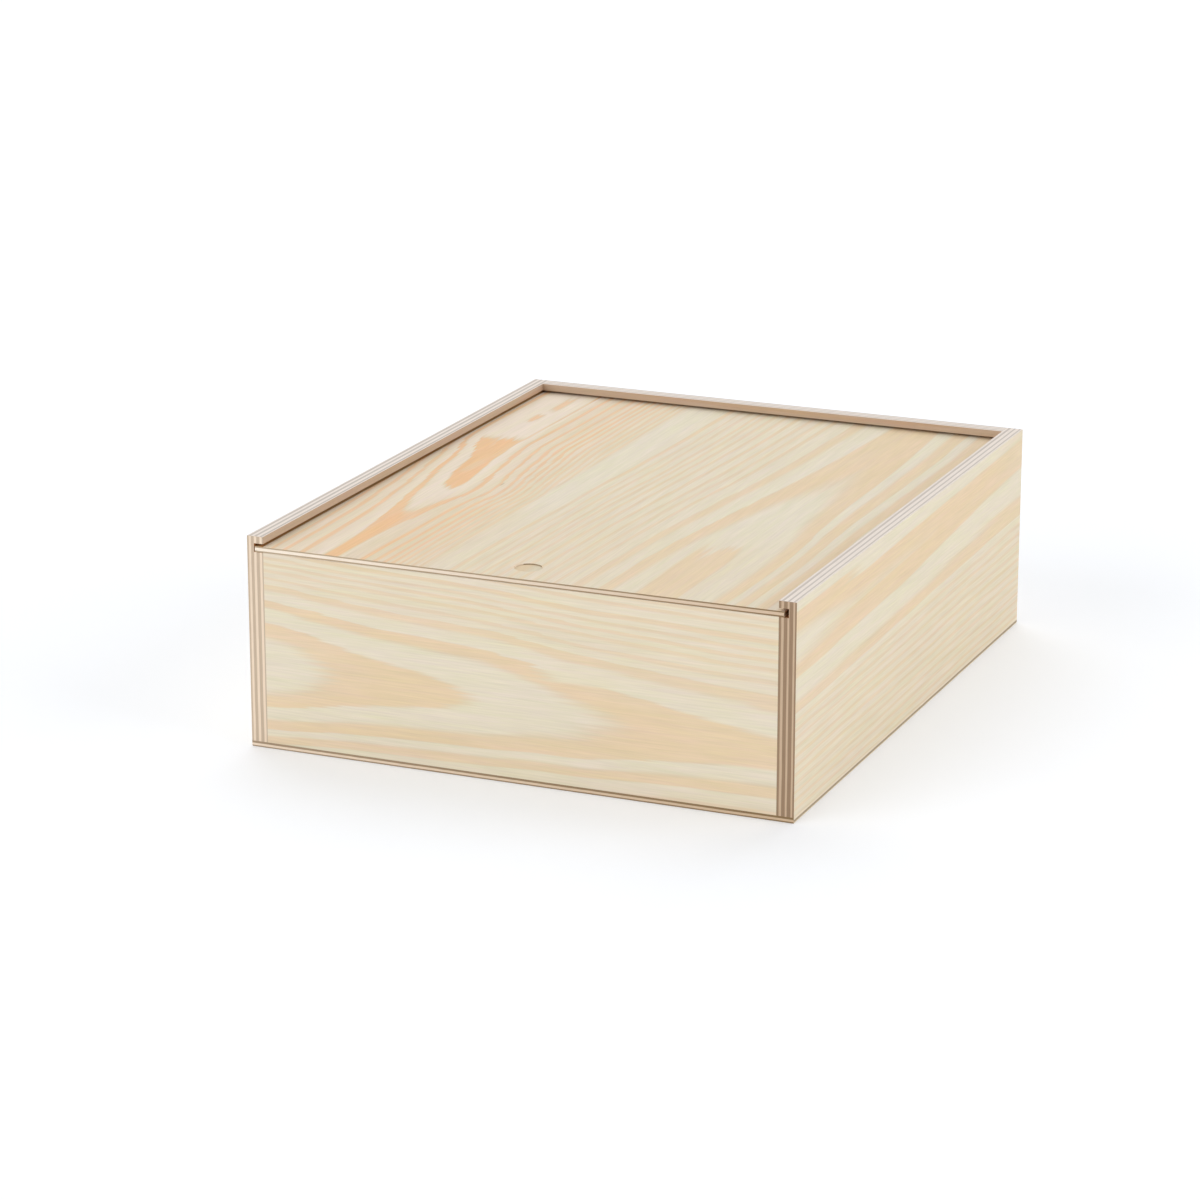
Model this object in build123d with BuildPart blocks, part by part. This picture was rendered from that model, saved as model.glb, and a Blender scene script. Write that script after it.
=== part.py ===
from build123d import *
import os

# Plywood box with a sliding lid, for papers and keepsakes. Four walls of seven-ply board stand on
# a thin three-ply base. A thin lid slides in a groove that runs round the inside of both sides and
# the back, and leaves the box over the lower front panel.
#
# Millimetres. The origin is the middle of the underside, +Z is up, and the front faces -Y.

# Outside of the closed box
box_width = 290.0  # left to right
box_depth = 350.0  # front to back
box_height = 110.0  # floor to rim

# Boards
wall = 9.0  # seven plies: both sides, the front and the back
base_thickness = 3.0  # three plies
lid_thickness = 3.0  # three plies

# Lid groove in both sides and the back
tongue_height = 3.7  # wood left above the groove, up to the rim
groove_web = 4.0  # wood left behind the groove, out to the face

# Play of the lid in its groove, with the lid pushed over to the left as it lies when closed
play_above = 1.4
play_left = 0.3
play_right = 2.3
play_back = 0.5

# Round finger recess in the lid
recess_diameter = 14.0
recess_depth = 0.6
recess_setback = 19.0  # from the lid's front edge to the middle of the recess

# Brads that hold the base to the walls, shot in from below: flattened wire with a T head
brad_width = 1.25  # of the head and the shank, across the wall
brad_thickness = 1.0  # of the shank, along the wall
brad_length = 15.0  # under the head, with its point
brad_point = 1.5
brad_head_length = 2.0  # along the wall
brad_head_height = 0.6
brad_set = 0.3  # how far the heads are punched below the underside
brads_per_side = 4
brads_per_end = 3
brad_inset = 30.0  # from the end of a wall to its first brad

# Sanded edges
arris = 0.4
lid_arris = 0.3

# Places that several pieces share
left_face = -box_width / 2
right_face = box_width / 2
front_face = -box_depth / 2
back_face = box_depth / 2
cavity_width = box_width - 2 * wall
tongue_underside = box_height - tongue_height
lid_seat = tongue_underside - play_above - lid_thickness

os.makedirs("parts", exist_ok=True)


def brad_places():
    """Every brad's place on the underside: a row along each wall, on its middle line and in line with it."""
    side_x = box_width / 2 - wall / 2
    end_y = box_depth / 2 - wall / 2
    side_reach = box_depth / 2 - brad_inset
    end_reach = cavity_width / 2 - brad_inset
    side_step = 2 * side_reach / (brads_per_side - 1)
    end_step = 2 * end_reach / (brads_per_end - 1)
    places = []
    for x in (-side_x, side_x):
        for i in range(brads_per_side):
            places.append(Location((x, i * side_step - side_reach, 0), (0, 0, 90)))
    for y in (-end_y, end_y):
        for i in range(brads_per_end):
            places.append(Location((i * end_step - end_reach, y, 0)))
    return places


# One brad, head down and point up, seen along its width
head_half = brad_head_length / 2
shank_half = brad_thickness / 2
head_top = brad_set + brad_head_height
tip = head_top + brad_length
with BuildPart() as brad:
    with BuildSketch(Plane.XZ):
        with BuildLine():
            Polyline(
                (-head_half, brad_set),
                (head_half, brad_set),
                (head_half, head_top),
                (shank_half, head_top),
                (shank_half, tip - brad_point),
                (0, tip),
                (-shank_half, tip - brad_point),
                (-shank_half, head_top),
                (-head_half, head_top),
                close=True,
            )
        make_face()
    extrude(amount=brad_width / 2, both=True)

with BuildPart() as base_brads:
    with Locations(*brad_places()):
        add(brad.part)
base_brads.part.label = "base_brads"
export_step(base_brads.part, "parts/base_brads.step")

# Base: one plate under all four walls, with a pit under every brad's head
with BuildPart() as base_panel:
    with BuildSketch():
        Rectangle(box_width, box_depth)
    extrude(amount=base_thickness)
    fillet(base_panel.edges().filter_by(Axis.Z), radius=arris)
    fillet(base_panel.faces().sort_by(Axis.Z)[0].edges(), radius=arris)
    add(base_brads.part, mode=Mode.SUBTRACT)
    with BuildSketch():
        with Locations(*brad_places()):
            Rectangle(brad_head_length, brad_width)
    extrude(amount=brad_set, mode=Mode.SUBTRACT)
base_panel.part.label = "base_panel"
export_step(base_panel.part, "parts/base_panel.step")

# Left side: full depth, so that its end shows at the front. Its groove is open there and stops at the
# back, where the back's own groove takes over.
groove_bottom = left_face + groove_web
groove_end = back_face - groove_web
with BuildPart() as left_panel:
    with BuildSketch(Plane.XZ.offset(-back_face)):
        with Locations((left_face, base_thickness)):
            Rectangle(wall, box_height - base_thickness, align=Align.MIN)
    extrude(amount=box_depth)
    rim = left_panel.faces().sort_by(Axis.Z)[-1].edges().sort_by(Axis.X)[:-1]
    corners = left_panel.edges().filter_by(Axis.Z).group_by(Axis.X)[0]
    fillet(rim + corners, radius=arris)
    with BuildSketch(Plane.XZ.offset(-groove_end)):
        with Locations((groove_bottom, lid_seat)):
            Rectangle(wall - groove_web, tongue_underside - lid_seat, align=Align.MIN)
    extrude(amount=groove_end - front_face, mode=Mode.SUBTRACT)
    add(base_brads.part, mode=Mode.SUBTRACT)
left_panel.part.label = "left_panel"
export_step(left_panel.part, "parts/left_panel.step")

# Right side: the left one's mirror image
with BuildPart() as right_panel:
    mirror(left_panel.part, about=Plane.YZ)
right_panel.part.label = "right_panel"
export_step(right_panel.part, "parts/right_panel.step")

# Front: lower than the sides, so that the lid slides out over it
with BuildPart() as front_panel:
    with BuildSketch(Plane.XZ.offset(-front_face - wall)):
        with Locations((0, base_thickness)):
            Rectangle(cavity_width, lid_seat - base_thickness, align=(Align.CENTER, Align.MIN))
    extrude(amount=wall)
    fillet(front_panel.faces().sort_by(Axis.Z)[-1].edges().filter_by(Axis.X), radius=arris)
    add(base_brads.part, mode=Mode.SUBTRACT)
front_panel.part.label = "front_panel"
export_step(front_panel.part, "parts/front_panel.step")

# Back: up to the rim between the sides, with the same groove as they have
with BuildPart() as back_panel:
    with BuildSketch(Plane.YZ.offset(-cavity_width / 2)):
        with BuildLine():
            Polyline(
                (back_face, base_thickness),
                (back_face, box_height),
                (back_face - wall, box_height),
                (back_face - wall, tongue_underside),
                (groove_end, tongue_underside),
                (groove_end, lid_seat),
                (back_face - wall, lid_seat),
                (back_face - wall, base_thickness),
                close=True,
            )
        make_face()
    extrude(amount=cavity_width)
    fillet(back_panel.faces().sort_by(Axis.Z)[-1].edges().sort_by(Axis.Y)[-1], radius=arris)
    add(base_brads.part, mode=Mode.SUBTRACT)
back_panel.part.label = "back_panel"
export_step(back_panel.part, "parts/back_panel.step")

# Lid: flush with the front, in its groove on the other three sides
lid_left = left_face + groove_web + play_left
lid_right = right_face - groove_web - play_right
lid_back = back_face - groove_web - play_back
lid_width = lid_right - lid_left
lid_depth = lid_back - front_face
lid_middle = (lid_left + lid_right) / 2
with BuildPart() as lid:
    with BuildSketch(Plane.XY.offset(lid_seat)):
        with Locations((lid_middle, front_face + lid_depth / 2)):
            Rectangle(lid_width, lid_depth)
    extrude(amount=lid_thickness)
    fillet(lid.edges(), radius=lid_arris)
    with BuildSketch(Plane.XY.offset(lid_seat + lid_thickness)):
        with Locations((lid_middle, front_face + recess_setback)):
            Circle(recess_diameter / 2)
    extrude(amount=-recess_depth, mode=Mode.SUBTRACT)
lid.part.label = "lid"
export_step(lid.part, "parts/lid.step")
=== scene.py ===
import math
import random
from dataclasses import dataclass

import bmesh
import bpy
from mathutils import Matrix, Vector


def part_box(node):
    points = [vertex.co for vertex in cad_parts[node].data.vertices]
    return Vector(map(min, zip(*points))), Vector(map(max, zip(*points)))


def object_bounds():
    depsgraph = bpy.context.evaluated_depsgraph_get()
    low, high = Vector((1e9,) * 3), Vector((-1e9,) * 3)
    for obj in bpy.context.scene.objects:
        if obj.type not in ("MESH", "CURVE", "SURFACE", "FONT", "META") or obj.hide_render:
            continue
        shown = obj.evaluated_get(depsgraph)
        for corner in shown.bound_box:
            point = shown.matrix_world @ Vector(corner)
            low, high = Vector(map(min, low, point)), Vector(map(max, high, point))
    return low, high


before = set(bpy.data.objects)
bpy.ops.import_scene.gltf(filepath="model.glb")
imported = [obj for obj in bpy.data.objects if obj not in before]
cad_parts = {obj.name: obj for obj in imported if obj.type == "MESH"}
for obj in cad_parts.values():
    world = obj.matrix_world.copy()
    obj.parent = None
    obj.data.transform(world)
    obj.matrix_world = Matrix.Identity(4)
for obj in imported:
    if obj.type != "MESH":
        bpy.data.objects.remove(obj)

bl_info = {
    "name": "Sliding lid plywood box",
    "version": (1, 0, 0),
    "blender": (4, 5, 0),
    "location": "3D View > Sidebar > Box",
    "description": "Finishes a plywood box with a sliding lid and sets it on a plain pale floor",
    "category": "Object",
}

MM = 1000.0  # millimetres in a metre: patterns on the boards are worked out in millimetres
SMOOTH = "SMOOTHSTEP"
WHITE = (1.0, 1.0, 1.0, 1.0)
CAD_LOW, CAD_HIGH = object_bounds()
LEFT, FRONT, FLOOR = CAD_LOW
RIGHT, BACK, RIM = CAD_HIGH


def linear(hex_colour):
    """An sRGB hex colour as linear red, green, blue and alpha."""
    parts = [int(hex_colour[i : i + 2], 16) / 255 for i in (1, 3, 5)]
    return [c / 12.92 if c <= 0.04045 else ((c + 0.055) / 1.055) ** 2.4 for c in parts] + [1.0]


def add_node(tree, kind, inputs=None, **settings):
    """Adds a shader node with its settings. An input is linked if a node or a socket is given for it.

    Inputs that share a name are given by number. The two sides of a Mix node are 2 and 3 for a value, 4
    and 5 for a vector, and 6 and 7 for a colour."""
    made = tree.nodes.new("ShaderNode" + kind)
    for setting, value in settings.items():
        setattr(made, setting, value)
    for socket, value in (inputs or {}).items():
        if isinstance(value, bpy.types.Node):
            value = next(output for output in value.outputs if output.enabled)
        if isinstance(value, bpy.types.NodeSocket):
            tree.links.new(value, made.inputs[socket])
        else:
            made.inputs[socket].default_value = value
    return made


def draw_curve(node, points):
    """Lays a Float Curve through its points."""
    node.mapping.use_clip = False
    curve = node.mapping.curves[0]
    curve.points[0].location = points[0]
    curve.points[1].location = points[-1]
    for x, y in points[1:-1]:
        curve.points.new(x, y)
    for spot in curve.points:
        spot.handle_type = "AUTO_CLAMPED"
    node.mapping.update()
    return node


def draw_ramp(node, stops):
    """Gives a Color Ramp its stops, each a place from 0 to 1 and a linear colour."""
    ramp = node.color_ramp
    ramp.elements[0].position, ramp.elements[0].color = stops[0]
    ramp.elements[1].position, ramp.elements[1].color = stops[-1]
    for place, colour in stops[1:-1]:
        ramp.elements.new(place).color = colour
    return node


def new_material(name):
    """A material without nodes, and its node tree."""
    material = bpy.data.materials.new(name)
    material.use_nodes = True
    material.node_tree.nodes.clear()
    return material, material.node_tree


@dataclass
class Figure:
    """How a pine veneer was cut from its log, in millimetres on its board.

    The veneer passes the middle of the log along the heart line, lift away from it. Where the lift
    changes, the years close into flames. A year's latewood is given by its start and its end, as
    distances from the middle of the log, on the side before the heart and on the side after it. A
    third number below 1 makes it fainter. Further out, fainter years follow at uneven spacing."""

    span: tuple  # across the board, from and to
    heart: tuple  # places along the board, and across it
    lift: tuple  # places along the board, and distances from the middle of the log
    before: tuple
    after: tuple
    spacing_before: tuple = (3.6, 5.6)
    spacing_after: tuple = (3.6, 5.6)
    calm: float = 60.0  # how far from the heart its bends have half faded
    contrast: tuple = (0.25, 0.6)  # of the years further out
    wash: float = 0.42  # tone that close years give where they run together to the eye
    seed: int = 1


@dataclass
class Patch:
    """A soft-edged stretch of a face that is paler or darker than its years, in millimetres."""

    along: tuple
    across: tuple
    tone: float  # 0 is earlywood and 1 latewood
    soft_along: float = 8.0
    soft_across: float = 2.0
    strength: float = 1.0


@dataclass
class Edge:
    """Colours of a cut edge: its end grain and its long grain, at the near end and the far end."""

    end_grain: str
    long_grain: str
    far_end_grain: str = ""
    far_long_grain: str = ""


@dataclass
class Board:
    """One plywood board. An axis is its letter, its direction and the place of its zero."""

    along: tuple  # along the grain of its faces
    across: tuple
    depth: tuple  # inwards from its outer face
    size: tuple  # along, across and thickness, in millimetres
    plies: tuple  # thicknesses from the outer face inwards, in millimetres
    outer: tuple  # one Figure, or two that lie side by side
    inner: Figure
    ends: Edge  # edges square to the face grain
    sides: Edge  # edges beside the face grain
    seam: tuple = (0.0, 1.0)  # across the grain, where one outer figure gives way to the other
    patches: tuple = ()
    flecks: tuple = ()  # small brown marks, as patches
    bared: tuple = ()  # the core under a recess, as patches: 0 is tan and 1 grey
    resin: tuple = ()  # across the grain, where orange latewood gives way to tan
    in_groove: float = 0.0  # how far in from the box's left side a lid's margin runs in its groove and gets painted shade
    groove: tuple = ()  # across the grain, from and to, and its depth from the outer face
    groove_shade_share: float = 1.0  # share of the painted shade inside the groove, from 0 to 1


def plain_figure(seed, across, heart=-60.0):
    """A quietly striped veneer, cut well beside the heart of its log."""
    lean = 6.0
    return Figure(
        span=(0.0, across),
        heart=((0, heart), (175, heart + lean), (350, heart - lean)),
        lift=((0, 8), (175, 14), (350, 6)),
        before=((17, 20),),
        after=((17, 20), (25, 29)),
        spacing_after=(4.0, 7.0),
        contrast=(0.3, 0.7),
        seed=seed,
    )


def reach_of(low, high):
    """Size of a box in millimetres, as x, y and z."""
    return [MM * (high[axis] - low[axis]) for axis in range(3)]


WIDTH, DEPTH, HEIGHT = reach_of(CAD_LOW, CAD_HIGH)
WALL = reach_of(*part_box("left_panel"))[0]
BASE_THICKNESS = reach_of(*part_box("base_panel"))[2]
LID_THICKNESS = reach_of(*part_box("lid"))[2]
LID_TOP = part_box("lid")[1].z
GROOVE_FLOOR = MM * (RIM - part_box("front_panel")[1].z)  # below the rim
TONGUE = 3.7  # wood above the groove
GROOVE_WEB = 4.0  # wood behind the groove
GROOVE = (TONGUE, GROOVE_FLOOR, GROOVE_WEB)
SHADED_MARGIN_TO = WALL - 0.3  # from the box's left side, just short of the tongue's face: the lid's painted margin shade

FAR_LATEWOOD = (1.2, 2.0)  # width in the fainter years further out, at least and at most

# Plies in millimetres from the outer face inwards, as thick as they look in the photograph
WALL_PLIES_LEFT = (1.1, 1.25, 1.6, 1.35, 1.75, 1.3, 0.65)
WALL_PLIES_RIGHT = (0.9, 0.9, 1.9, 1.0, 1.8, 1.3, 1.2)
LID_PLIES = (0.75, 1.45, 0.8)
BASE_PLIES = (0.75, 1.15, 1.1)

# The right side's front end is a darker board's than the left side's
LEFT_EDGE = Edge("#C8B49E", "#ECD9C3")
RIGHT_EDGE = Edge("#9B826A", "#C8AF95")
RIM_EDGE = Edge("#C9BFB6", "#EBE1D8")
LID_EDGE = Edge("#BBA88F", "#FAEEDE", "#8C7455", "#D2B99F")
BASE_EDGE = Edge("#A8937B", "#F0DDC8", "#8C7455", "#D0B698")
BASE_SIDE = Edge("#A89880", "#E8DAC4")

FRONT_FIGURE = Figure(
    span=(0.0, HEIGHT),
    heart=(
        (0, 65.9),
        (40, 67),
        (60, 67.6),
        (100, 68.8),
        (125, 69.5),
        (150, 71),
        (180, 74),
        (220, 74.2),
        (250, 75),
        (290, 76.5),
    ),
    lift=(
        (0, 10),
        (20, 13.3),
        (40, 18),
        (60, 21),
        (100, 23.7),
        (115, 24.6),
        (128, 25.3),
        (150, 27.8),
        (180, 30.3),
        (204, 32),
        (250, 34.3),
        (290, 35.1),
    ),
    before=(
        (18.2, 25.3),
        (31.4, 36.1),
        (40.5, 43.7, 0.7),
        (46, 47.5, 0.5),
        (49.8, 51.4, 0.52),
        (53, 54.5, 0.62),
        (56, 57.4, 0.5),
        (59.1, 61.4, 0.75),
        (64.4, 66, 0.6),
    ),
    after=((18.3, 25.3), (30.8, 36.3), (39.2, 43.3, 0.85), (47.5, 50, 0.6)),
    spacing_before=(3.0, 4.4),
    contrast=(0.4, 0.65),
    calm=45.0,
    seed=3,
)
RIGHT_FIGURE = Figure(
    span=(0.0, HEIGHT),
    heart=((0, 23.9), (75, 23.7), (150, 21.6), (200, 19.6), (250, 17.3), (350, 14.3)),
    lift=((0, 17.3), (40, 18.1), (75, 19.2), (150, 19.7), (200, 20.3), (250, 20.9), (350, 21.6)),
    before=((19.2, 24), (31.1, 34.8)),
    after=(
        (18.4, 22.8),
        (30.4, 35.6, 0.85),
        (38.4, 40.1, 0.45),
        (42.4, 44.2, 0.55),
        (46.4, 48, 0.45),
        (50.4, 52.1, 0.5),
        (54.4, 56.4, 0.6),
        (58.9, 60.7, 0.55),
        (63.3, 65.2, 0.6),
        (67.7, 69.5, 0.5),
        (72.2, 73.8, 0.55),
    ),
    spacing_after=(3.6, 4.6),
    calm=30.0,
    seed=5,
)
LEFT_FIGURE = Figure(
    span=(0.0, HEIGHT),
    heart=((0, 52), (120, 57), (240, 54), (350, 60)),
    lift=((0, 33), (90, 24), (170, 16), (260, 18), (350, 27)),
    before=((14, 19), (23.5, 28), (32.5, 36, 0.8)),
    after=((14, 19), (23.5, 28), (33.5, 37, 0.8)),
    seed=7,
)
BACK_FIGURE = Figure(
    span=(0.0, HEIGHT),
    heart=((0, 40), (150, 46), (290, 43)),
    lift=((0, 12), (80, 18), (160, 24), (290, 33)),
    before=((13.5, 20), (25, 29), (33.5, 37, 0.8)),
    after=((13.5, 20), (25, 29), (34.5, 38, 0.8)),
    seed=9,
)
LID_LEFT_FIGURE = Figure(
    span=(0.0, 112.0),
    heart=(
        (0, 31),
        (112, 30.5),
        (121, 31.3),
        (150, 37),
        (180, 41.3),
        (200, 44.9),
        (216, 46.6),
        (235, 45.6),
        (255, 45.9),
        (270, 46.3),
        (350, 46.4),
    ),
    lift=(
        (0, 17.6),
        (100, 17.8),
        (120, 18.6),
        (150, 20.4),
        (180, 20.6),
        (200, 20.9),
        (216, 21.7),
        (240, 23.8),
        (265, 25.2),
        (300, 26.2),
        (350, 26.7),
    ),
    before=((16.8, 22), (25, 27, 0.8), (30, 31.6, 0.5), (34.5, 36.2, 0.45), (38.6, 40, 0.4)),
    after=(
        (16.8, 22),
        (25, 27, 0.62),
        (31.3, 33.3, 0.52),
        (36.6, 38.8, 0.5),
        (41, 43, 0.5),
        (44.6, 46.8, 0.6),
        (48.4, 50.3, 0.55),
        (52.4, 54.3, 0.55),
        (55.8, 57.8, 0.55),
        (59.8, 62, 0.6),
    ),
    spacing_after=(3.4, 4.2),
    contrast=(0.45, 0.65),
    wash=0.77,
    seed=11,
)
LID_RIGHT_FIGURE = Figure(
    span=(98.0, WIDTH),
    heart=(
        (0, 231),
        (50, 231),
        (100, 230),
        (150, 228),
        (190, 225.5),
        (260, 223.7),
        (300, 222.5),
        (350, 221),
    ),
    lift=(
        (0, 31),
        (50, 29.4),
        (100, 27.6),
        (123, 26.6),
        (150, 25.3),
        (180, 23),
        (220, 19.3),
        (254, 13.7),
        (290, 9.5),
        (350, 5),
    ),
    before=(
        (3, 13.8),
        (25.8, 34),
        (41.5, 47.3, 0.75),
        (54.6, 57, 0.65),
        (60.6, 63, 0.5),
        (66.2, 68.6, 0.6),
        (73, 75.6, 0.75),
        (79.6, 82, 0.6),
        (85.2, 87.5, 0.65),
        (90.2, 92.5, 0.55),
        (94.4, 96.4, 0.7),
        (99.8, 102, 0.55),
        (105, 106.6, 0.5),
        (110.4, 113.6, 0.85),
        (134, 136, 0.3),
    ),
    after=((3, 13.8), (26.5, 34), (37.6, 43.8, 0.95), (47.8, 53.8, 0.9), (58, 61, 0.75)),
    spacing_before=(4.4, 5.8),
    calm=200.0,
    wash=0.47,
    seed=13,
)

DOWN = ("Z", -1, RIM)
BOARDS = {
    "left_panel": Board(
        along=("Y", 1, FRONT),
        across=DOWN,
        depth=("X", 1, LEFT),
        size=(DEPTH, HEIGHT, WALL),
        plies=WALL_PLIES_LEFT,
        outer=(LEFT_FIGURE,),
        inner=plain_figure(21, HEIGHT),
        ends=LEFT_EDGE,
        sides=RIM_EDGE,
        groove=GROOVE,
    ),
    "right_panel": Board(
        along=("Y", 1, FRONT),
        across=DOWN,
        depth=("X", -1, RIGHT),
        size=(DEPTH, HEIGHT, WALL),
        plies=WALL_PLIES_RIGHT,
        outer=(RIGHT_FIGURE,),
        patches=(
            Patch(along=(-40, 100), across=(3.8, 13.5), tone=1.0, soft_along=40.0, soft_across=1.5),
            Patch(along=(285, 440), across=(-20, 21), tone=0.6, soft_along=60.0, strength=0.5),
            Patch(along=(190, 440), across=(39.5, 48.5), tone=0.85, soft_along=70.0, soft_across=3.0),
            Patch(along=(255, 440), across=(35.5, 45), tone=0.85, soft_along=60.0, soft_across=3.0),
        ),
        inner=plain_figure(22, HEIGHT, heart=150.0),
        ends=RIGHT_EDGE,
        sides=RIM_EDGE,
        groove=GROOVE,
    ),
    "front_panel": Board(
        along=("X", 1, LEFT),
        across=DOWN,
        depth=("Y", 1, FRONT),
        size=(WIDTH, HEIGHT, WALL),
        plies=WALL_PLIES_LEFT,
        outer=(FRONT_FIGURE,),
        inner=plain_figure(23, HEIGHT, heart=40.0),
        ends=LEFT_EDGE,
        sides=RIM_EDGE,
        patches=(
            Patch(along=(262, 330), across=(48, 57), tone=0.8, soft_along=14.0, soft_across=2.5),
            Patch(along=(152, 208), across=(44, 56), tone=0.1, soft_along=18.0, soft_across=2.5),
        ),
    ),
    "back_panel": Board(
        along=("X", 1, LEFT),
        across=DOWN,
        depth=("Y", -1, BACK),
        size=(WIDTH, HEIGHT, WALL),
        plies=WALL_PLIES_RIGHT,
        outer=(BACK_FIGURE,),
        inner=plain_figure(24, HEIGHT, heart=70.0),
        ends=LEFT_EDGE,
        sides=RIM_EDGE,
        groove=GROOVE,
        # paler painted shade in the back groove
        groove_shade_share=0.45,
    ),
    "base_panel": Board(
        along=("Y", 1, FRONT),
        across=("X", 1, LEFT),
        depth=("Z", 1, FLOOR),
        size=(DEPTH, WIDTH, BASE_THICKNESS),
        plies=BASE_PLIES,
        outer=(plain_figure(25, WIDTH, heart=120.0),),
        inner=plain_figure(26, WIDTH, heart=170.0),
        ends=BASE_EDGE,
        sides=BASE_SIDE,
    ),
    "lid": Board(
        along=("Y", -1, BACK),
        across=("X", 1, LEFT),
        depth=("Z", -1, LID_TOP),
        size=(DEPTH, WIDTH, LID_THICKNESS),
        plies=LID_PLIES,
        outer=(LID_LEFT_FIGURE, LID_RIGHT_FIGURE),
        inner=plain_figure(27, WIDTH, heart=110.0),
        ends=LID_EDGE,
        sides=LID_EDGE,
        seam=(96.0, 100.0),
        patches=(
            Patch(along=(-60, 110), across=(44, 68), tone=0.8, soft_along=30.0, strength=0.35),
            Patch(along=(-30, 116), across=(15.5, 43), tone=0.0, soft_along=14.0),
            Patch(along=(8, 54), across=(27.5, 35), tone=0.84, soft_along=15.0, soft_across=2.4),
            Patch(along=(52, 75), across=(25, 33), tone=0.88, soft_along=7.0, soft_across=2.6),
            Patch(along=(150, 190), across=(36, 44), tone=0.85, soft_along=14.0, soft_across=3.0),
            Patch(along=(258, 440), across=(40.3, 52.2), tone=1.0, soft_along=24.0, soft_across=3.5),
            Patch(along=(-60, 270), across=(97, 117), tone=0.0, soft_along=70.0, soft_across=3.0),
            Patch(along=(190, 440), across=(52, 98), tone=1.0, soft_along=70.0, strength=0.35),
            Patch(along=(255, 400), across=(206.5, 216), tone=1.0, soft_along=22.0, soft_across=2.5),
            Patch(along=(250, 400), across=(229, 237), tone=0.15, soft_along=20.0, soft_across=2.0),
            Patch(along=(200, 440), across=(98, 278), tone=0.85, soft_along=90.0, strength=0.2),
        ),
        bared=(
            Patch(along=(310, 350), across=(120, 149), tone=0.5, soft_across=6.0),
            Patch(along=(310, 350), across=(142, 170), tone=1.0, soft_across=6.0),
        ),
        flecks=(
            Patch(
                along=(193, 201),
                across=(68.6, 69.8),
                tone=1.0,
                soft_along=3.0,
                soft_across=0.6,
                strength=0.5,
            ),
        ),
        resin=(64.0, 99.0),
        in_groove=SHADED_MARGIN_TO,
    ),
}


def place_on_board(tree, board):
    """Where a point lies on its board, in millimetres along, across and in, and which way it faces."""
    spot = add_node(tree, "TexCoord")
    place = add_node(tree, "SeparateXYZ", {0: spot.outputs["Object"]})
    facing = add_node(tree, "SeparateXYZ", {0: spot.outputs["Normal"]})
    places, faces = [], []
    for letter, sign, zero in (board.along, board.across, board.depth):
        scale = sign * MM
        inputs = {0: place.outputs[letter], 1: scale, 2: -scale * zero}
        places.append(add_node(tree, "Math", inputs, operation="MULTIPLY_ADD"))
        faces.append(add_node(tree, "Math", {0: facing.outputs[letter]}, operation="ABSOLUTE"))
    return places, faces


def streaks(tree, along, across, length, width, seed, detail=2.0):
    """Noise from 0 to 1 that is drawn out along the grain, in streaks of a real length and width. Each
    seed takes its own slice of the noise."""
    place = add_node(tree, "CombineXYZ", {0: along, 1: across, 2: float(seed)})
    scale = (1 / length, 1 / width, 1.0)
    drawn = add_node(tree, "VectorMath", {0: place, 1: scale}, operation="MULTIPLY")
    return add_node(tree, "TexNoise", {"Vector": drawn, "Scale": 1.0, "Detail": detail})


def year_curves(figure):
    """Two lists of points over the signed distance from the log's middle: the count of years, where a
    year's latewood runs from its half to its end, and the contrast of the years."""
    dice = random.Random(figure.seed)
    hearts = [place for _, place in figure.heart]
    lift = max(height for _, height in figure.lift)
    counts, contrasts = [(0.0, 0.0)], [(0.0, 1.0)]
    for side, bands, spacing, aside in (
        (-1, figure.before, figure.spacing_before, max(hearts) - figure.span[0]),
        (1, figure.after, figure.spacing_after, figure.span[1] - min(hearts)),
    ):
        bands = [(*band, 1.0)[:3] for band in bands]
        while bands[-1][1] < math.hypot(aside, lift):
            end = bands[-1][1] + dice.uniform(*spacing)
            bands.append((end - dice.uniform(*FAR_LATEWOOD), end, dice.uniform(*figure.contrast)))
        for year, (start, end, contrast) in enumerate(bands):
            counts += [(side * start, side * (year + 0.5)), (side * end, side * (year + 1))]
            contrasts += [(side * start, contrast), (side * end, contrast)]
    return sorted(counts), sorted(contrasts)


def fray(tree, along, across, seed):
    """Moves the places along and across a little, which gives years and patches the sway and the frayed
    tips of real wood."""
    sway = streaks(tree, along, across, length=90, width=22, seed=seed)
    feather = streaks(tree, along, across, length=40, width=1.5, seed=seed + 40, detail=1.0)
    frayed = []
    for place, noise, reach in ((along, feather, 22.0), (across, sway, 3.0)):
        moved = add_node(tree, "Math", {0: noise, 1: reach, 2: place}, operation="MULTIPLY_ADD")
        frayed.append(add_node(tree, "Math", {0: moved, 1: reach / 2}, operation="SUBTRACT"))
    return frayed


def distance_from_middle(tree, along, across, figure):
    """How far the veneer lies from the middle of its log, negative on the side before the heart. The
    heart's bends fade away from it."""
    heart = draw_curve(add_node(tree, "FloatCurve", {"Value": along}), figure.heart)
    lift = draw_curve(add_node(tree, "FloatCurve", {"Value": along}), figure.lift)
    aside = add_node(tree, "Math", {0: across, 1: heart}, operation="SUBTRACT")
    apart = add_node(tree, "Math", {0: aside, 1: figure.calm}, operation="DIVIDE")
    apart = add_node(tree, "Math", {0: apart, 1: apart}, operation="MULTIPLY")
    apart_more = add_node(tree, "Math", {0: apart, 1: 1.0}, operation="ADD")
    calmed = add_node(tree, "Math", {0: apart, 1: apart_more}, operation="DIVIDE")
    bend = add_node(tree, "Math", {0: heart, 1: float(figure.heart[0][1])}, operation="SUBTRACT")
    aside = add_node(tree, "Math", {0: bend, 1: calmed, 2: aside}, operation="MULTIPLY_ADD")
    side = add_node(tree, "Math", {0: aside}, operation="SIGN")
    out = add_node(tree, "CombineXYZ", {0: aside, 1: lift})
    out = add_node(tree, "VectorMath", {0: out}, operation="LENGTH")
    return add_node(tree, "Math", {0: out, 1: side}, operation="MULTIPLY")


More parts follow.
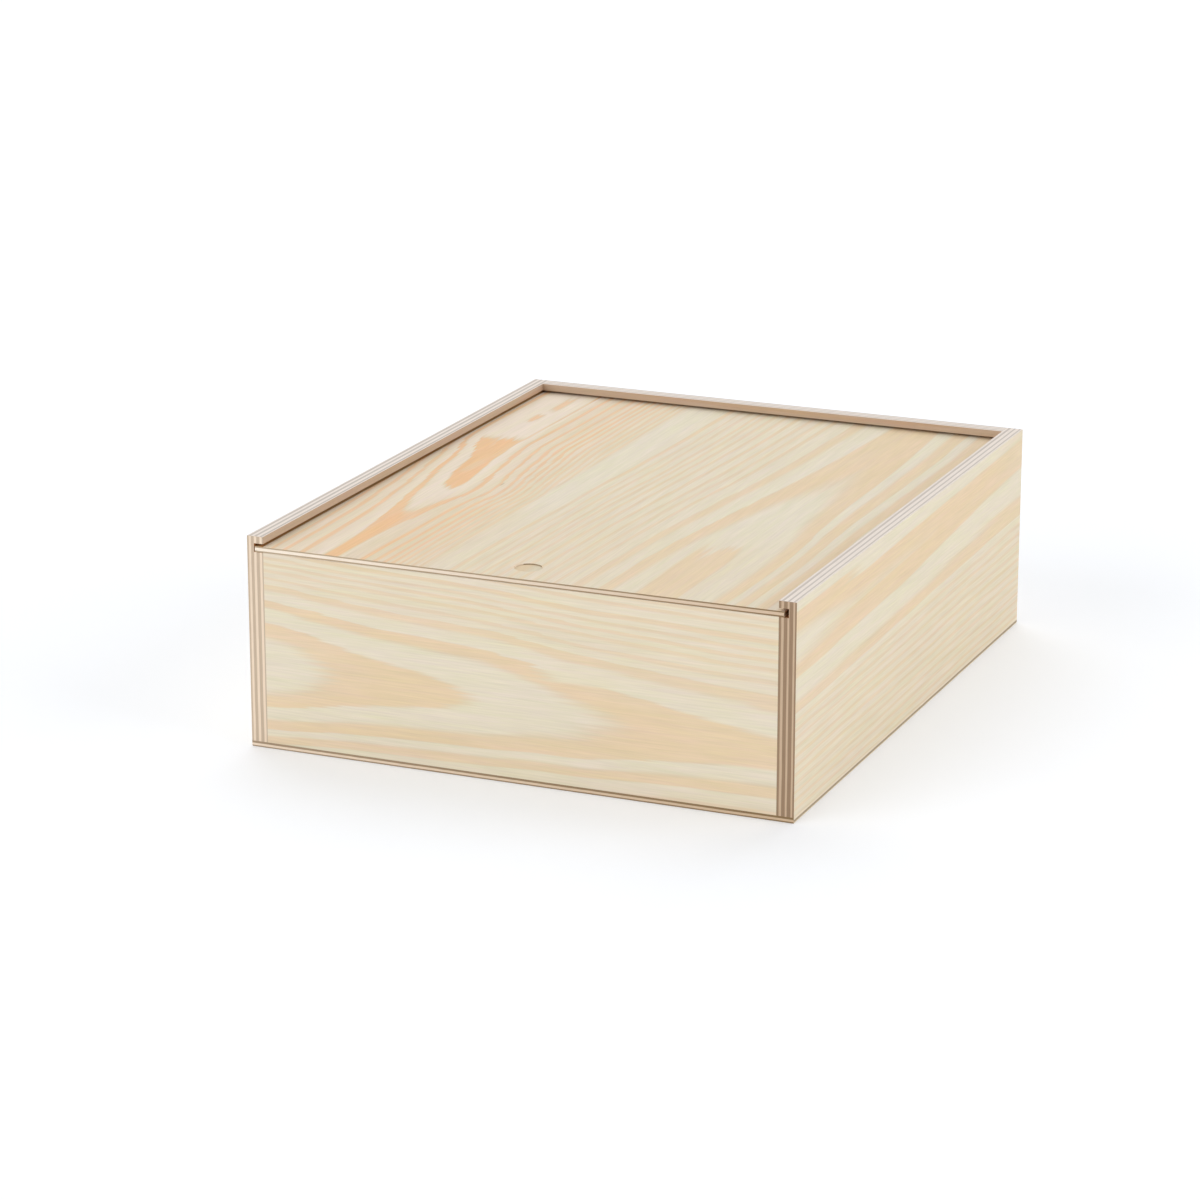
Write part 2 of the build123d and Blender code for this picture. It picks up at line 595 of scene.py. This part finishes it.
def veneer_tone(tree, along, across, figure):
    """How dark a veneer is, from 0 in earlywood to 1 in latewood. A year's latewood comes on softly, ends
    at once and is fainter for a stretch here and there."""
    along, across = fray(tree, along, across, figure.seed)
    out = distance_from_middle(tree, along, across, figure)
    counts, contrasts = year_curves(figure)
    count = draw_curve(add_node(tree, "FloatCurve", {"Value": out}), counts)
    contrast = draw_curve(add_node(tree, "FloatCurve", {"Value": out}), contrasts)
    count = add_node(tree, "Math", {0: count}, operation="ABSOLUTE")
    year = add_node(tree, "Math", {0: count}, operation="FRACT")
    rise = add_node(tree, "MapRange", {0: year, 1: 0.4, 2: 0.62}, interpolation_type=SMOOTH)
    drop = add_node(tree, "MapRange", {0: year, 1: 1.0, 2: 0.93}, interpolation_type=SMOOTH)
    latewood = add_node(tree, "Math", {0: rise, 1: drop}, operation="MULTIPLY")
    strength = streaks(tree, along, out, length=120, width=5, seed=figure.seed + 80)
    limits = {0: strength, 1: 0.3, 2: 0.6, 3: 0.87}
    strength = add_node(tree, "MapRange", limits, interpolation_type=SMOOTH)
    latewood = add_node(tree, "Math", {0: latewood, 1: strength}, operation="MULTIPLY")
    return add_node(tree, "Mix", {0: contrast, 2: figure.wash, 3: latewood})


def patch_mask(tree, along, across, patch):
    """One inside a patch and nought outside it."""
    mask = patch.strength
    for place, (start, end), soft in (
        (along, patch.along, patch.soft_along),
        (across, patch.across, patch.soft_across),
    ):
        for edge, inside in ((start, start + soft), (end, end - soft)):
            limits = {0: place, 1: float(edge), 2: float(inside)}
            inner = add_node(tree, "MapRange", limits, interpolation_type=SMOOTH)
            mask = add_node(tree, "Math", {0: mask, 1: inner}, operation="MULTIPLY")
    return mask


def board_tone(tree, along, across, depth, board):
    """Tone of a board's two faces: the outer one's figures and patches, and the inner one's figure."""
    tone = veneer_tone(tree, along, across, board.outer[0])
    if len(board.outer) == 2:
        other = veneer_tone(tree, along, across, board.outer[1])
        limits = {0: across, 1: board.seam[0], 2: board.seam[1]}
        share = add_node(tree, "MapRange", limits, interpolation_type=SMOOTH)
        tone = add_node(tree, "Mix", {0: share, 2: tone, 3: other})
    frayed = fray(tree, along, across, seed=90)
    for patch in board.patches:
        mask = patch_mask(tree, *frayed, patch)
        tone = add_node(tree, "Mix", {0: mask, 2: tone, 3: patch.tone})
    inner = veneer_tone(tree, along, across, board.inner)
    inside = add_node(tree, "Math", {0: depth, 1: board.size[2] / 2}, operation="GREATER_THAN")
    return add_node(tree, "Mix", {0: inside, 2: tone, 3: inner})


def face_colour(tree, tone, along, across, board, wood):
    """Colour of a face: cream over a greyer half tone to tan, with streaks that turn rosy or greenish."""
    early, late = list(wood.earlywood), list(wood.latewood)
    if board.resin:
        limits = {0: across, 1: board.resin[0], 2: board.resin[1]}
        share = add_node(tree, "MapRange", limits, interpolation_type=SMOOTH)
        late = add_node(tree, "Mix", {0: share, 6: list(wood.resinous), 7: late}, data_type="RGBA")
        rosy_early = list(wood.earlywood_rosy)
        early = add_node(tree, "Mix", {0: share, 6: rosy_early, 7: early}, data_type="RGBA")
    half = 0.6  # the tone that shows as half tone
    to_half = add_node(tree, "MapRange", {0: tone, 1: 0.0, 2: half})
    to_late = add_node(tree, "MapRange", {0: tone, 1: half, 2: 1.0})
    face = add_node(tree, "Mix", {0: to_half, 6: early, 7: list(wood.half_tone)}, data_type="RGBA")
    face = add_node(tree, "Mix", {0: to_late, 6: face, 7: late}, data_type="RGBA")
    for length, width, seed in ((60, 7, 60), (22, 1.6, 67)):
        blush = streaks(tree, along, across, length, width, seed)
        share = add_node(tree, "MapRange", {0: blush, 1: 0.36, 2: 0.64})
        greenish, rosy = (0.992, 1.002, 0.975), (1.008, 0.998, 1.025)
        tint = add_node(tree, "Mix", {0: share, 4: greenish, 5: rosy}, data_type="VECTOR")
        face = add_node(tree, "VectorMath", {0: face, 1: tint}, operation="MULTIPLY")
    # Painted shade: the lid's left margin, which runs under the tongue, is darkened brown
    if board.in_groove:
        length, width = board.size[:2]
        beyond_margin = Patch(
            along=(-1, length + 1),
            across=(board.in_groove, width + 1),
            tone=0.0,
            soft_along=0.3,
            soft_across=0.3,
        )
        mask = patch_mask(tree, along, across, beyond_margin)
        margin_shade = add_node(tree, "VectorMath", {0: face, 1: list(wood.margin_shade)[:3]}, operation="MULTIPLY")
        face = add_node(tree, "Mix", {0: mask, 6: margin_shade, 7: face}, data_type="RGBA")
    for fleck in board.flecks:
        mask = patch_mask(tree, along, across, fleck)
        face = add_node(tree, "Mix", {0: mask, 6: face, 7: list(wood.fleck)}, data_type="RGBA")
    return face


def bare_core(tree, face, along, across, depth, board, wood):
    """Shows the core where a groove or a recess bares it. Its grain runs across, and it shades from tan
    to grey."""
    shade = streaks(tree, across, along, length=40, width=8, seed=66)
    shade = add_node(tree, "MapRange", {0: shade, 1: 0.4, 2: 0.6}, interpolation_type=SMOOTH)
    for patch in board.bared:
        mask = patch_mask(tree, along, across, patch)
        shade = add_node(tree, "Mix", {0: mask, 2: shade, 3: patch.tone})
    core_colours = {0: shade, 6: list(wood.core_tan), 7: list(wood.core_grey)}
    core = add_node(tree, "Mix", core_colours, data_type="RGBA")
    veneer = 0.5  # thinner than any outer ply
    below = add_node(tree, "Math", {0: depth, 1: veneer}, operation="GREATER_THAN")
    above = add_node(tree, "Math", {0: depth, 1: board.size[2] - veneer}, operation="LESS_THAN")
    bared = add_node(tree, "Math", {0: below, 1: above}, operation="MULTIPLY")
    return add_node(tree, "Mix", {0: bared, 6: face, 7: core}, data_type="RGBA")


def ply_colours(tree, depth, board, first, second):
    """Colours of the plies on a cut edge by their depth, in turn the first and the second colour."""
    glue_line = 0.06 / board.size[2]  # half of one, as a share of the board's thickness
    stops, place = [], 0.0
    for number, thickness in enumerate(board.plies):
        colour = linear(second if number % 2 else first)
        end = place + thickness / sum(board.plies)
        stops += [(place + glue_line if number else 0.0, colour), (min(end - glue_line, 1.0), colour)]
        place = end
    share = add_node(tree, "Math", {0: depth, 1: board.size[2]}, operation="DIVIDE")
    return draw_ramp(add_node(tree, "ValToRGB", {"Fac": share}), stops)


def edge_colour(tree, depth, across, board, edge, turned):
    """Colours of one kind of cut edge, which may change from its near end to its far end. Turned is for
    an edge beside the face grain, where the outer plies show their long grain."""
    near, far = (edge.end_grain, edge.long_grain), (edge.far_end_grain, edge.far_long_grain)
    if turned:
        near, far = near[::-1], far[::-1]
    colour = ply_colours(tree, depth, board, *near)
    if not edge.far_end_grain:
        return colour
    far_colour = ply_colours(tree, depth, board, *far)
    share = add_node(tree, "MapRange", {0: across, 2: board.size[1]})
    return add_node(tree, "Mix", {0: share, 6: colour, 7: far_colour}, data_type="RGBA")


def cut_colour(tree, along, across, depth, is_end, board):
    """Colour of the cut edges, with fine streaks along each ply."""
    reach = 0.3  # millimetres by which the plies wave in all
    wave = streaks(tree, along, across, length=30, width=30, seed=62)
    waved = add_node(tree, "Math", {0: wave, 1: reach, 2: depth}, operation="MULTIPLY_ADD")
    waved = add_node(tree, "Math", {0: waved, 1: reach / 2}, operation="SUBTRACT")
    ends = edge_colour(tree, waved, across, board, board.ends, turned=False)
    sides = edge_colour(tree, waved, across, board, board.sides, turned=True)
    end_streak = streaks(tree, across, depth, length=9, width=0.22, seed=63)
    side_streak = streaks(tree, along, depth, length=14, width=0.22, seed=64)
    streak = add_node(tree, "Mix", {0: is_end, 2: side_streak, 3: end_streak})
    shade = add_node(tree, "MapRange", {0: streak, 1: 0.3, 2: 0.7, 3: 0.92, 4: 1.05})
    cut = add_node(tree, "Mix", {0: is_end, 6: sides, 7: ends}, data_type="RGBA")
    return add_node(tree, "VectorMath", {0: cut, 1: shade}, operation="MULTIPLY")


def shade_groove(tree, colour, along, across, depth, board, wood):
    """Paints shade, in brown, inside the lid groove and on the tongue's face above it. The groove
    stops as far from the board's far end as from its outer face."""
    top, floor, bottom = board.groove
    clear = 0.05  # so that the groove's own faces count as inside it
    stop = board.size[0] - bottom + clear
    before_stop = add_node(tree, "Math", {0: along, 1: stop}, operation="LESS_THAN")
    below_tongue = add_node(tree, "Math", {0: across, 1: top - clear}, operation="GREATER_THAN")
    above_floor = add_node(tree, "Math", {0: across, 1: floor + clear}, operation="LESS_THAN")
    past_bottom = add_node(tree, "Math", {0: depth, 1: bottom - clear}, operation="GREATER_THAN")
    groove_shade_share = board.groove_shade_share
    for within in (below_tongue, above_floor, past_bottom, before_stop):
        groove_shade_share = add_node(tree, "Math", {0: groove_shade_share, 1: within}, operation="MULTIPLY")
    inmost = add_node(tree, "Math", {0: depth, 1: board.size[2] - clear}, operation="GREATER_THAN")
    # the tongue's inner face, which gets painted shade
    tongue = add_node(tree, "Math", {0: inmost, 1: below_tongue}, operation="GREATER_THAN")
    for share, brown in ((groove_shade_share, wood.groove_shade), (tongue, wood.tongue)):
        browned = add_node(tree, "VectorMath", {0: colour, 1: list(brown)[:3]}, operation="MULTIPLY")
        colour = add_node(tree, "Mix", {0: share, 6: colour, 7: browned}, data_type="RGBA")
    return colour


def pine_plywood(name, board, wood):
    """Sanded pine plywood, left raw: cream earlywood with tan latewood flames on its faces, and plies
    that turn from dark end grain to pale long grain on its cut edges. It gives the eye a dry, silky
    surface with fine streaks along the grain and no shine."""
    material, tree = new_material("Pine plywood " + name.replace("_", " "))
    (along, across, depth), (faces_along, faces_across, faces_out) = place_on_board(tree, board)

    tone = board_tone(tree, along, across, depth, board)
    face = face_colour(tree, tone, along, across, board, wood)
    face = bare_core(tree, face, along, across, depth, board, wood)
    fibre = streaks(tree, along, across, length=24, width=0.8, seed=61, detail=3.0)
    silk = streaks(tree, along, across, length=70, width=3.5, seed=65)
    for noise, shift in ((fibre, 0.045), (silk, 0.025)):
        shade = add_node(tree, "MapRange", {0: noise, 1: 0.3, 2: 0.7, 3: 1 - shift, 4: 1 + shift})
        face = add_node(tree, "VectorMath", {0: face, 1: shade}, operation="MULTIPLY")

    is_end = add_node(tree, "Math", {0: faces_along, 1: faces_across}, operation="GREATER_THAN")
    cut = cut_colour(tree, along, across, depth, is_end, board)
    is_face = add_node(tree, "MapRange", {0: faces_out, 1: 0.7, 2: 0.8}, interpolation_type=SMOOTH)
    colour = add_node(tree, "Mix", {0: is_face, 6: cut, 7: face}, data_type="RGBA")
    # Painted shade, in brown, inside the lid groove and on the tongue's inner face
    if board.groove:
        colour = shade_groove(tree, colour, along, across, depth, board, wood)

    # Latewood stands a little proud of the softer wood that the sander wears more
    height = add_node(tree, "Math", {0: tone, 1: 0.6, 2: fibre}, operation="MULTIPLY_ADD")
    bump = add_node(tree, "Bump", {"Strength": 0.5, "Distance": 0.04 / MM, "Height": height})
    rough = add_node(tree, "MapRange", {"Value": fibre, "To Min": 0.78, "To Max": 0.66})
    shader = add_node(
        tree,
        "BsdfPrincipled",
        {
            "Base Color": colour,
            "Roughness": rough,
            "IOR": 1.5,
            "Specular IOR Level": 0.1,
            "Normal": bump,
        },
    )
    add_node(tree, "OutputMaterial", {"Surface": shader})
    return material


def brad_steel():
    """Bright drawn steel wire, flattened: a cool grey with fine lines along the wire."""
    material, tree = new_material("Bright drawn steel")
    spot = add_node(tree, "TexCoord")
    scale = (MM / 0.5, MM / 0.5, MM / 8)  # lines half a millimetre wide and 8 long
    drawn = add_node(tree, "VectorMath", {0: spot.outputs["Object"], 1: scale}, operation="MULTIPLY")
    lines = add_node(tree, "TexNoise", {"Vector": drawn, "Scale": 1.0, "Detail": 2.0})
    colour = draw_ramp(
        add_node(tree, "ValToRGB", {"Fac": lines}),
        [(0.3, linear("#9A9A98")), (0.7, linear("#BDBDBA"))],
    )
    rough = add_node(tree, "MapRange", {"Value": lines, "To Min": 0.25, "To Max": 0.45})
    shader = add_node(
        tree, "BsdfPrincipled", {"Base Color": colour, "Metallic": 1.0, "Roughness": rough}
    )
    add_node(tree, "OutputMaterial", {"Surface": shader})
    return material


def finish_node(name, material):
    """Gives every material slot of a frame piece one material."""
    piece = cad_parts[name]
    if not piece.material_slots:
        piece.data.materials.append(material)
    for slot in piece.material_slots:
        slot.material = material


def wood_colour(name, description, hex_colour):
    """A colour that the panel shows, set from its sRGB hex value."""
    return bpy.props.FloatVectorProperty(
        name=name, description=description, subtype="COLOR", size=4, default=linear(hex_colour)
    )


class PineColours(bpy.types.PropertyGroup):
    """Colours of raw pine. The last three multiply the colour of the wood under them, as painted shade in
    and beside the lid groove.
    """

    earlywood: wood_colour("Earlywood", "Pale greenish cream wood of a year's spring", "#E3DAC5")
    earlywood_rosy: wood_colour("Rosy earlywood", "The same at the left of the lid, rosier", "#E9DBC8")
    latewood: wood_colour("Latewood", "Tan wood of a year's end", "#E4CEAE")
    half_tone: wood_colour("Half tone", "Between the two, and fine years that lie close", "#E1D1B7")
    resinous: wood_colour("Resinous latewood", "Orange latewood, at the left of the lid", "#EBC196")
    core_tan: wood_colour("Tan core", "Cross-grain core bared by a recess, where it is tan", "#DCBE96")
    core_grey: wood_colour("Grey core", "The same core, where it is greyish", "#D9CDB4")
    fleck: wood_colour("Fleck", "Small brown mark on a face", "#A98C66")
    # Painted shade inside the lid groove, where the gap above the lid is dark
    groove_shade: wood_colour("Scorched groove", "What the saw's heat leaves inside the groove", "#C99A6B")
    # Painted shade on the lid's left margin, seen in the gap under the tongue
    margin_shade: wood_colour("Rubbed margin", "What is left on the lid's left margin by its groove", "#D4B489")
    # Painted shade on the tongue's inner face above the groove
    tongue: wood_colour("Tongue", "What is left on the sawn inner face of the tongue", "#DDCCC6")


class StageSettings(bpy.types.PropertyGroup):
    """Where the camera stands, and how strong the light all round is."""

    azimuth: bpy.props.FloatProperty(
        name="Azimuth", description="Camera to the right of the front, in degrees", default=23.13
    )
    elevation: bpy.props.FloatProperty(
        name="Elevation", description="Camera above the box's middle, in degrees", default=16.97
    )
    distance: bpy.props.FloatProperty(
        name="Distance", description="From the camera to its aim", default=2.143, unit="LENGTH"
    )
    aim: bpy.props.FloatVectorProperty(
        name="Aim",
        description="Point at the middle of the picture",
        default=(-0.0299, 0.0, 0.0412),
        subtype="TRANSLATION",
    )
    lens: bpy.props.FloatProperty(name="Lens", description="Focal length in millimetres", default=122.2)
    sky: bpy.props.FloatProperty(name="Sky", description="Strength of the light all round", default=0.42)


class BOX_OT_finish_walls(bpy.types.Operator):
    """Finish the four walls in seven-ply pine"""

    bl_idname = "box.finish_walls"
    bl_label = "Finish walls"

    def execute(self, context):
        for name in ("left_panel", "right_panel", "front_panel", "back_panel"):
            finish_node(name, pine_plywood(name, BOARDS[name], context.scene.pine_colours))
        return {"FINISHED"}


class BOX_OT_finish_lid(bpy.types.Operator):
    """Finish the sliding lid in three-ply pine"""

    bl_idname = "box.finish_lid"
    bl_label = "Finish lid"

    def execute(self, context):
        finish_node("lid", pine_plywood("lid", BOARDS["lid"], context.scene.pine_colours))
        return {"FINISHED"}


class BOX_OT_finish_base(bpy.types.Operator):
    """Finish the base in three-ply pine and its brads in steel"""

    bl_idname = "box.finish_base"
    bl_label = "Finish base"

    def execute(self, context):
        material = pine_plywood("base_panel", BOARDS["base_panel"], context.scene.pine_colours)
        finish_node("base_panel", material)
        finish_node("base_brads", brad_steel())
        return {"FINISHED"}


LIGHTS = (  # with azimuth and elevation in degrees, and strength
    ("back light", 205, 45, 1.18),
    ("front light", -35, 15, 1.71),
    ("side light", 100, 15, 1.51),
)
LIGHT_SPREAD = 60.0  # degrees across, which keeps every shadow soft


def direction(azimuth, elevation):
    """Unit vector towards a place round the box: azimuth 0 is in front of it and 90 to its right."""
    a, e = math.radians(azimuth), math.radians(elevation)
    return Vector((math.sin(a) * math.cos(e), -math.cos(a) * math.cos(e), math.sin(e)))


def seen_by_eye(tree):
    """One for camera, glossy and transmission rays, and nought for rays that light the box."""
    rays = add_node(tree, "LightPath").outputs
    seen = rays["Is Camera Ray"]
    for kind in ("Is Glossy Ray", "Is Transmission Ray"):
        seen = add_node(tree, "Math", {0: seen, 1: rays[kind]}, operation="MAXIMUM")
    return seen


def pale_floor():
    """Matt white studio floor, as of painted board. It shows near white with a faint soft shadow, and
    throws light back up at the box."""
    material, tree = new_material("Matt white floor")
    lit = add_node(tree, "BsdfDiffuse", {"Color": (0.98, 0.98, 0.98, 1.0)})
    shade = add_node(tree, "BsdfDiffuse", {"Color": (0.8, 0.82, 0.855, 1.0)})
    glow = add_node(tree, "Emission", {"Color": WHITE, "Strength": 0.255})
    shown = add_node(tree, "AddShader", {0: shade, 1: glow})
    floor = add_node(tree, "MixShader", {0: seen_by_eye(tree), 1: lit, 2: shown})
    add_node(tree, "OutputMaterial", {"Surface": floor})
    return material


def lay_floor(scene):
    """A wide floor just under the box."""
    reach = 20.0  # from its middle to its edges, in metres
    drop = 0.05 / MM  # so that it doesn't touch the base
    mesh = bpy.data.meshes.new("floor")
    shape = bmesh.new()
    bmesh.ops.create_grid(shape, x_segments=2, y_segments=2, size=reach)
    bmesh.ops.translate(shape, verts=shape.verts, vec=(0, 0, FLOOR - drop))
    shape.to_mesh(mesh)
    shape.free()
    floor = bpy.data.objects.new("floor", mesh)
    scene.collection.objects.link(floor)
    floor.data.materials.append(pale_floor())


def light_stage(scene, sky):
    """White all round to the eye, with a weaker sky and three very soft lights on the box."""
    world = bpy.data.worlds.new("Soft white studio")
    scene.world = world
    world.use_nodes = True
    tree = world.node_tree
    tree.nodes.clear()
    light = add_node(tree, "Background", {"Color": WHITE, "Strength": sky})
    shown = add_node(tree, "Background", {"Color": WHITE, "Strength": 1.0})
    mixed = add_node(tree, "MixShader", {0: seen_by_eye(tree), 1: light, 2: shown})
    add_node(tree, "OutputWorld", {"Surface": mixed})

    for name, azimuth, elevation, strength in LIGHTS:
        lamp = bpy.data.lights.new(name, "SUN")
        lamp.energy = strength
        lamp.angle = math.radians(LIGHT_SPREAD)
        holder = bpy.data.objects.new(name, lamp)
        holder.rotation_mode = "QUATERNION"
        holder.rotation_quaternion = direction(azimuth, elevation).to_track_quat("Z", "Y")
        scene.collection.objects.link(holder)


def place_camera(scene, stage):
    """The camera, where the photograph was taken from."""
    camera = bpy.data.objects.new("camera", bpy.data.cameras.new("camera"))
    camera.data.sensor_width = 36.0
    camera.data.lens = stage.lens
    camera.data.clip_end = 100.0
    towards = direction(stage.azimuth, stage.elevation)
    camera.location = Vector(stage.aim) + towards * stage.distance
    camera.rotation_mode = "QUATERNION"
    camera.rotation_quaternion = towards.to_track_quat("Z", "Y")
    scene.collection.objects.link(camera)
    scene.camera = camera


class BOX_OT_set_stage(bpy.types.Operator):
    """Lay the floor, light the box softly and place the camera"""

    bl_idname = "box.set_stage"
    bl_label = "Set stage"

    def execute(self, context):
        scene = context.scene
        lay_floor(scene)
        light_stage(scene, scene.box_stage.sky)
        place_camera(scene, scene.box_stage)
        scene.view_settings.view_transform = "Standard"
        return {"FINISHED"}


class BOX_PT_panel(bpy.types.Panel):
    """The settings, and a button for each operator"""

    bl_idname = "BOX_PT_panel"
    bl_label = "Plywood box"
    bl_space_type = "VIEW_3D"
    bl_region_type = "UI"
    bl_category = "Box"

    def draw(self, context):
        for group in (context.scene.pine_colours, context.scene.box_stage):
            for name in group.__annotations__:
                self.layout.prop(group, name)
        for operator in OPERATORS:
            self.layout.operator(operator.bl_idname)


OPERATORS = (BOX_OT_finish_walls, BOX_OT_finish_lid, BOX_OT_finish_base, BOX_OT_set_stage)
CLASSES = (PineColours, StageSettings, *OPERATORS, BOX_PT_panel)


def register():
    for cls in CLASSES:
        bpy.utils.register_class(cls)
    bpy.types.Scene.pine_colours = bpy.props.PointerProperty(type=PineColours)
    bpy.types.Scene.box_stage = bpy.props.PointerProperty(type=StageSettings)


def unregister():
    del bpy.types.Scene.box_stage
    del bpy.types.Scene.pine_colours
    for cls in reversed(CLASSES):
        bpy.utils.unregister_class(cls)


def main():
    register()
    bpy.ops.box.finish_walls()
    bpy.ops.box.finish_lid()
    bpy.ops.box.finish_base()
    bpy.ops.box.set_stage()


if __name__ == "__main__":
    main()
